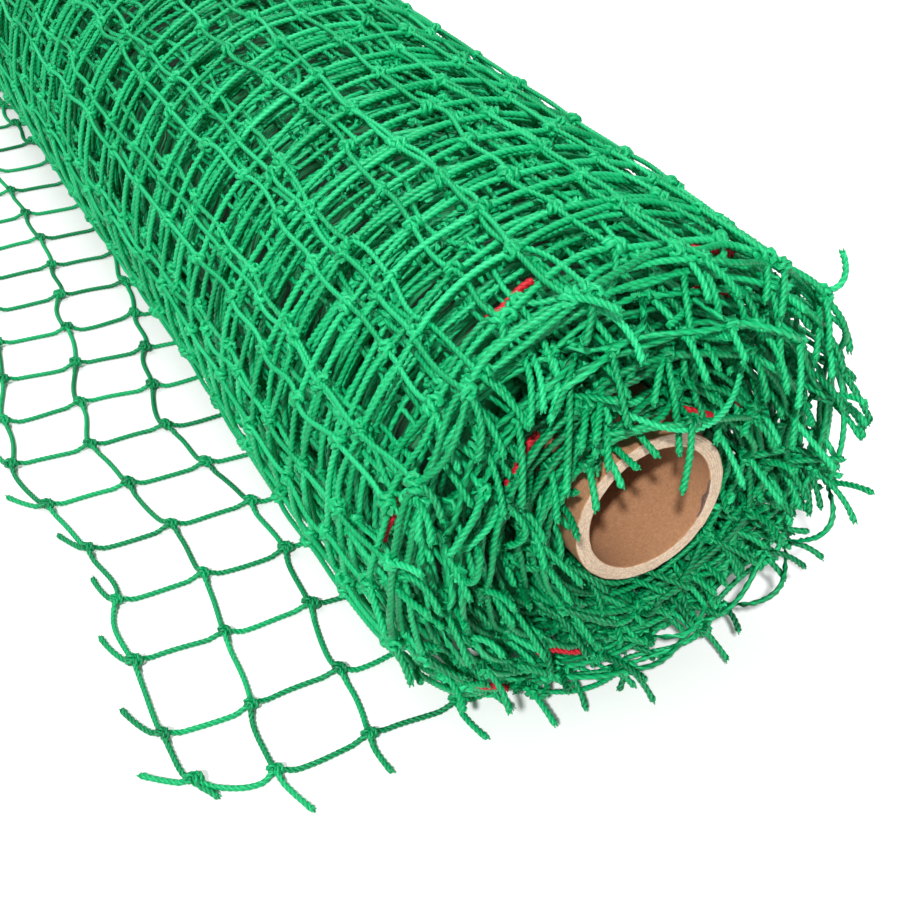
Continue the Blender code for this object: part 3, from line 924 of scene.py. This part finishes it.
# ---------------------------------------------------------------- the paper tube
def paper_tube():
    """Rings of points down the outside, across the near rim, up the inside and across the far rim."""
    around = np.linspace(0, 2 * np.pi, 241)[:-1]
    half = -CORE_END_Y
    wall = CORE_RADIUS - CORE_BORE_RADIUS
    rim = 0.0010  # the rim's rings take up this much of the length

    def straight(radius, y_values):
        return [np.stack([np.full_like(around, radius), np.full_like(around, y)], -1) for y in y_values]

    share = np.linspace(0.0, 1.0, 4 * BOARD_PLIES + 1)
    ragged = soft_noise((len(share), len(around)), (0.4, 1.5), 0.00010)
    plies = 0.00016 * np.cos(share * BOARD_PLIES * 2 * np.pi)
    worn = 0.0005 * np.maximum(0.0, 1 - np.minimum(share, 1 - share) / 0.08) ** 2
    depth = (half - worn - 0.0002 + plies)[:, None] + ragged
    radii = np.broadcast_to((CORE_RADIUS - wall * share)[:, None], depth.shape)
    near_rim = list(np.stack([radii, -depth], -1))
    far_rim = list(np.stack([radii, depth], -1)[::-1])
    mouth = -half + np.array((rim, 0.0014, 0.0018, 0.0022, 0.0026, 0.0032, 0.0060, 0.0100))
    bore = np.concatenate([mouth, np.linspace(-half + 0.018, half - rim, 58)])
    outside = straight(CORE_RADIUS, np.linspace(half - rim, -half + rim, 60))
    rings = np.array(outside + near_rim + straight(CORE_BORE_RADIUS, bore) + far_rim)
    x = CORE_X + rings[..., 0] * np.cos(around)
    z = AXIS_Z + rings[..., 0] * np.sin(around)
    return np.stack([x, rings[..., 1], z], -1)


def board_of(centre):
    """Which of the tube's materials a face there has: 0 for kraft, 1 for the cut rims, 2 for the dark patch.
    """
    away = math.hypot(centre.x - CORE_X, centre.z - AXIS_Z)
    if CORE_BORE_RADIUS + 0.0002 < away < CORE_RADIUS - 0.0002:
        return 1
    angle = math.degrees(math.atan2(centre.z - AXIS_Z, centre.x - CORE_X))
    first, last = DARK_PATCH_ANGLES
    thickness = 1 - abs(2 * (angle - first) / (last - first) - 1)
    wavy = 0.75 + 0.25 * math.sin(angle * 0.35)
    in_dark_patch = thickness > 0 and centre.y - CORE_END_Y < 0.0008 + 0.0022 * thickness * wavy
    return 2 if in_dark_patch and away < CORE_BORE_RADIUS + 0.0004 else 0


tube = ring_object("paper_tube", paper_tube(), kraft)
tube.data.materials.append(cut_board)
tube.data.materials.append(dark_patch)
for polygon in tube.data.polygons:
    polygon.material_index = board_of(polygon.center)
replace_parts(tube, "core_tube")

# ---------------------------------------------------------------- the red cords
for number, (mark_centre, forwards) in enumerate(zip(mark_centres, MARKS_FORWARDS), start=1):
    x, y, z = mark_centre - (ROLL_X, forwards, AXIS_Z)
    radius = min(np.hypot(x, z) + 0.0004, OUTER_RADIUS - MARK_COVER)
    angle = math.atan2(z, x) + np.linspace(-MARK_HALF_LENGTH, MARK_HALF_LENGTH, MARK_RINGS) / radius
    wave = 0.0012 * np.sin(np.linspace(0, 5, MARK_RINGS) + number)
    path = np.stack([ROLL_X + radius * np.cos(angle), y + wave, AXIS_Z + radius * np.sin(angle)], -1)
    part = swept(path[None], ALONG_Y, MARK_RADIUS, FINE, 0.6)
    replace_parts(twine_object(f"red_cord_{number}", [part], red), f"metre_mark_{number}")

# ---------------------------------------------------------------- floor, light and camera
floor_mesh = bpy.data.meshes.new("floor")
floor_mesh.from_pydata([(-6, -6, 0), (6, -6, 0), (6, 6, 0), (-6, 6, 0)], [], [(0, 1, 2, 3)])
floor = bpy.data.objects.new("floor", floor_mesh)
bpy.context.scene.collection.objects.link(floor)
floor_material, _, _, floor_shader = new_material("white_floor")
floor_shader.inputs["Base Color"].default_value = (FLOOR_GREY, FLOOR_GREY, FLOOR_GREY, 1.0)
floor_shader.inputs["Roughness"].default_value = 0.9
floor_mesh.materials.append(floor_material)

world = bpy.data.worlds.new("studio")
bpy.context.scene.world = world
world.use_nodes = True
world.node_tree.nodes["Background"].inputs["Color"].default_value = (1.0, 1.0, 1.0, 1.0)
world.node_tree.nodes["Background"].inputs["Strength"].default_value = WORLD_STRENGTH
bpy.context.scene.view_settings.view_transform = "Standard"


def area_light(name, place, aim, size, power):
    light = bpy.data.lights.new(name, "AREA")
    light.shape = "SQUARE"
    light.size = size
    light.energy = power
    obj = bpy.data.objects.new(name, light)
    obj.location = place
    obj.rotation_euler = (Vector(aim) - Vector(place)).to_track_quat("-Z", "Y").to_euler()
    bpy.context.scene.collection.objects.link(obj)


tube_mouth = Vector((CORE_X, CORE_END_Y, AXIS_Z))
area_light("key", tube_mouth + KEY_DIRECTION * KEY_DISTANCE, tube_mouth, KEY_SIZE, KEY_POWER)
area_light("overhead", OVERHEAD_PLACE, OVERHEAD_AIM, OVERHEAD_SIZE, OVERHEAD_POWER)

camera_data = bpy.data.cameras.new("camera")
camera_data.sensor_width = CAMERA_SENSOR
camera_data.lens = CAMERA_LENS
camera_data.clip_start = 0.01
camera = bpy.data.objects.new("camera", camera_data)
forward = Vector(CAMERA_FORWARD).normalized()
right = Vector(CAMERA_RIGHT)
right = (right - forward * right.dot(forward)).normalized()
up = right.cross(forward)
camera_turn = Matrix((right, up, -forward)).transposed()
camera_place = (ROLL_X + CAMERA_FROM_ROLL[0], FIRST_ROW_Y + CAMERA_FROM_ROLL[1], CAMERA_FROM_ROLL[2])
camera.matrix_world = Matrix.Translation(camera_place) @ camera_turn.to_4x4()
bpy.context.scene.collection.objects.link(camera)
bpy.context.scene.camera = camera
